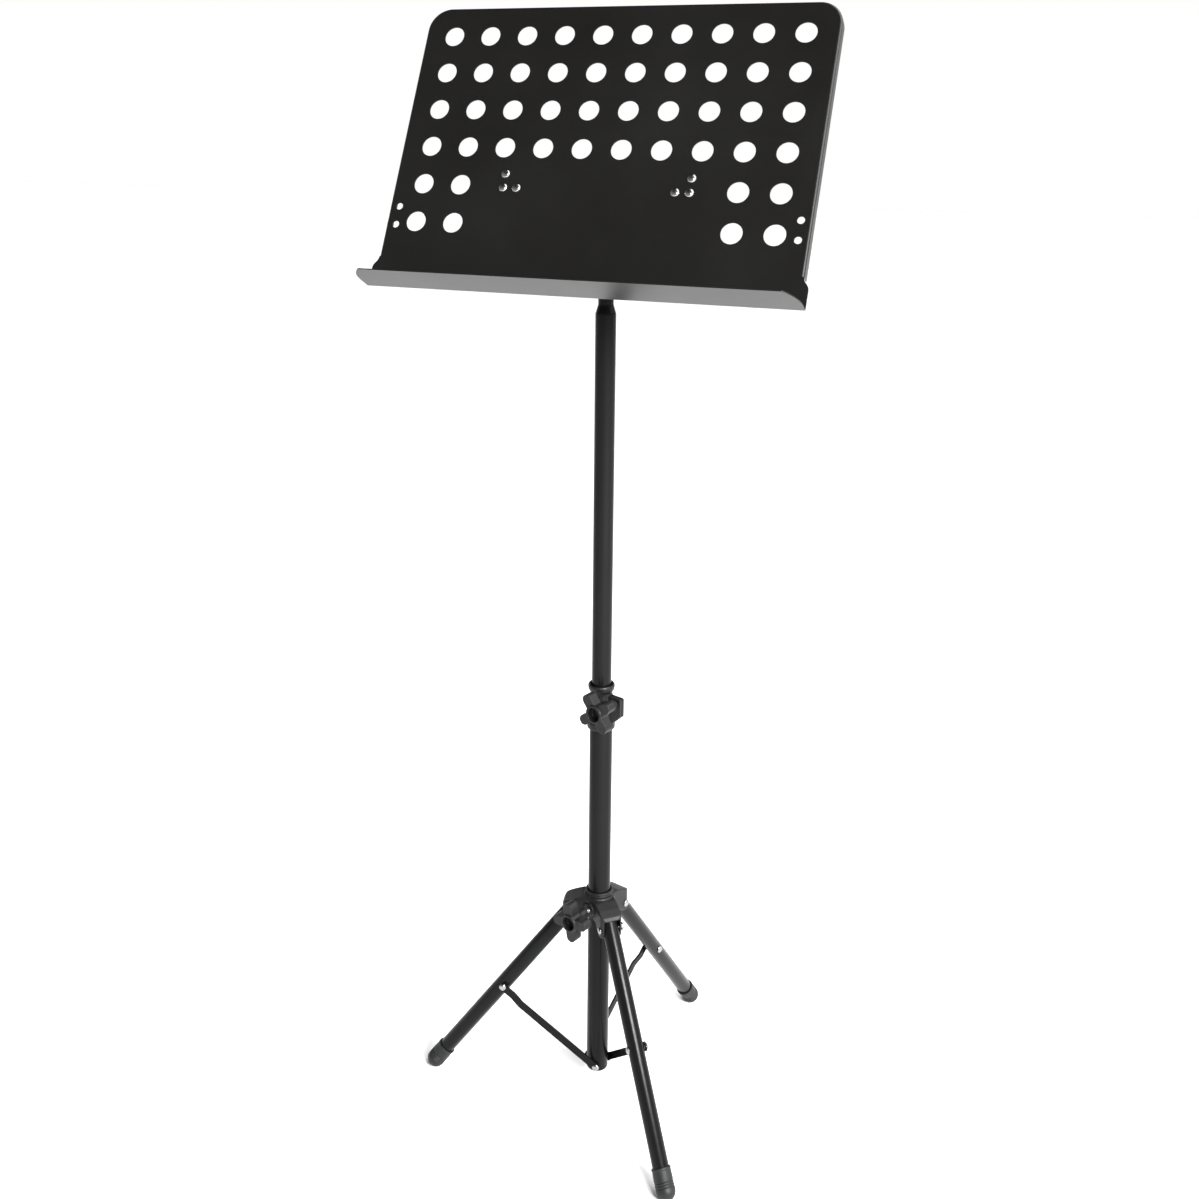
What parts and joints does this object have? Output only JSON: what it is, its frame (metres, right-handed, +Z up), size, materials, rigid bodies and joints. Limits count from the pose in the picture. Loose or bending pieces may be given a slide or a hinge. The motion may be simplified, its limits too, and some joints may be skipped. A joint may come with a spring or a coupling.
{
  "type": "music stand",
  "caption": "Orchestral music stand: perforated sheet-metal desk with a folded ledge, tilting head, telescopic mast with star-knob clamps and a folding tripod with rubber feet.",
  "frame": {"origin": "middle of the footprint, on the floor", "axes": "+Z up along the mast; +X to the reader's right; the reader stands at -Y and looks along +Y"},
  "size_m": [0.5016, 0.395, 1.3652],
  "materials": {
    "desk_paint": "satin black powder coat",
    "tube_paint": "satin black enamel",
    "plastic": "fine-grained satin black",
    "rubber": "matte black",
    "zinc": "bright zinc plate"
  },
  "bodies": {
    "base": {"lower_tube": "tube_paint", "tube_plug": "plastic", "clamp_collar": "plastic", "brace_rivet_left": "zinc", "brace_rivet_front": "zinc", "brace_rivet_back": "zinc"},
    "hub": {"hub": "plastic", "hub_ring": "plastic", "hinge_pin_left": "zinc", "hinge_pin_front": "zinc", "hinge_pin_back": "zinc"},
    "slide_bush": {"slide_bush": "plastic"},
    "mast": {"upper_tube": "tube_paint", "tilt_head": "plastic", "head_pin": "zinc"},
    "desk": {"desk_panel": "desk_paint", "bracket_ear_right": "desk_paint", "bracket_ear_left": "desk_paint", "tilt_bar": "zinc", "desk_rivet_left_1": "zinc", "desk_rivet_left_2": "zinc", "desk_rivet_left_3": "zinc", "desk_rivet_right_1": "zinc", "desk_rivet_right_2": "zinc", "desk_rivet_right_3": "zinc"},
    "height_clamp_knob": {"height_knob": "plastic", "height_screw": "zinc"},
    "hub_clamp_knob": {"hub_knob": "plastic", "hub_screw": "zinc"},
    "tilt_clamp_knob": {"tilt_knob": "plastic", "tilt_screw": "zinc"},
    "leg_left_body": {"leg_left": "tube_paint", "foot_left": "rubber", "leg_bolt_left": "zinc"},
    "brace_left_body": {"brace_left": "tube_paint", "brace_pin_left": "zinc"},
    "leg_front_body": {"leg_front": "tube_paint", "foot_front": "rubber", "leg_bolt_front": "zinc"},
    "brace_front_body": {"brace_front": "tube_paint", "brace_pin_front": "zinc"},
    "leg_back_body": {"leg_back": "tube_paint", "foot_back": "rubber", "leg_bolt_back": "zinc"},
    "brace_back_body": {"brace_back": "tube_paint", "brace_pin_back": "zinc"}
  },
  "joints": [
    {"name": "hub_slide", "type": "slide", "parent": "base", "child": "hub", "axis": [0, 0, 1], "range_m": [0, 0.0813]},
    {"name": "leg_fold_left", "type": "hinge", "parent": "hub", "child": "leg_left_body", "pos_m": [-0.03806, -0.03255, 0.25445], "axis": [0.2181, -0.9759, 0], "range_deg": [0, 36.65]},
    {"name": "brace_swing_left", "type": "hinge", "parent": "base", "child": "brace_left_body", "pos_m": [0.00349, -0.03966, 0.034], "axis": [-0.2181, 0.9759, 0], "range_deg": [0, 36.02]},
    {"name": "leg_fold_front", "type": "hinge", "parent": "hub", "child": "leg_front_body", "pos_m": [0.0264, -0.05275, 0.25445], "axis": [0.7361, 0.6769, 0], "range_deg": [0, 36.65]},
    {"name": "brace_swing_front", "type": "hinge", "parent": "base", "child": "brace_front_body", "pos_m": [0.01178, -0.01321, 0.034], "axis": [-0.7361, -0.6769, 0], "range_deg": [0, 36.02]},
    {"name": "leg_fold_back", "type": "hinge", "parent": "hub", "child": "leg_back_body", "pos_m": [0.01166, 0.01317, 0.25445], "axis": [-0.9542, 0.299, 0], "range_deg": [0, 36.65]},
    {"name": "brace_swing_back", "type": "hinge", "parent": "base", "child": "brace_back_body", "pos_m": [-0.01527, -0.01926, 0.034], "axis": [0.9542, -0.299, 0], "range_deg": [0, 36.02]},
    {"name": "mast_slide", "type": "slide", "parent": "base", "child": "slide_bush", "axis": [0, 0, 1], "range_m": [-0.42, 0.06]},
    {"name": "mast_turn", "type": "hinge", "parent": "slide_bush", "child": "mast", "pos_m": [0, -0.02404, 0.48], "axis": [0, 0, 1], "continuous": true},
    {"name": "desk_tilt", "type": "hinge", "parent": "mast", "child": "desk", "pos_m": [0, -0.02404, 1.16], "axis": [-1, 0, 0], "range_deg": [-27, 60]},
    {"name": "height_knob_turn", "type": "hinge", "parent": "base", "child": "height_clamp_knob", "pos_m": [0.01909, -0.03002, 0.5505], "axis": [-0.299, -0.9542, 0], "range_deg": [0, 360]},
    {"name": "hub_knob_turn", "type": "hinge", "parent": "hub", "child": "hub_clamp_knob", "pos_m": [0, -0.02404, 0.26895], "axis": [-0.299, -0.9542, 0], "range_deg": [0, 360]},
    {"name": "tilt_knob_turn", "type": "hinge", "parent": "mast", "child": "tilt_clamp_knob", "pos_m": [0, -0.02404, 1.16], "axis": [0, 1, 0], "range_deg": [0, 360]}
  ],
  "couplings": [
    {"joint": "leg_fold_left", "follows": "hub_slide", "rad_per_m": 7.8572},
    {"joint": "brace_swing_left", "follows": "hub_slide", "rad_per_m": 7.7211},
    {"joint": "leg_fold_front", "follows": "hub_slide", "rad_per_m": 7.8572},
    {"joint": "brace_swing_front", "follows": "hub_slide", "rad_per_m": 7.7211},
    {"joint": "leg_fold_back", "follows": "hub_slide", "rad_per_m": 7.8572},
    {"joint": "brace_swing_back", "follows": "hub_slide", "rad_per_m": 7.7211}
  ]
}
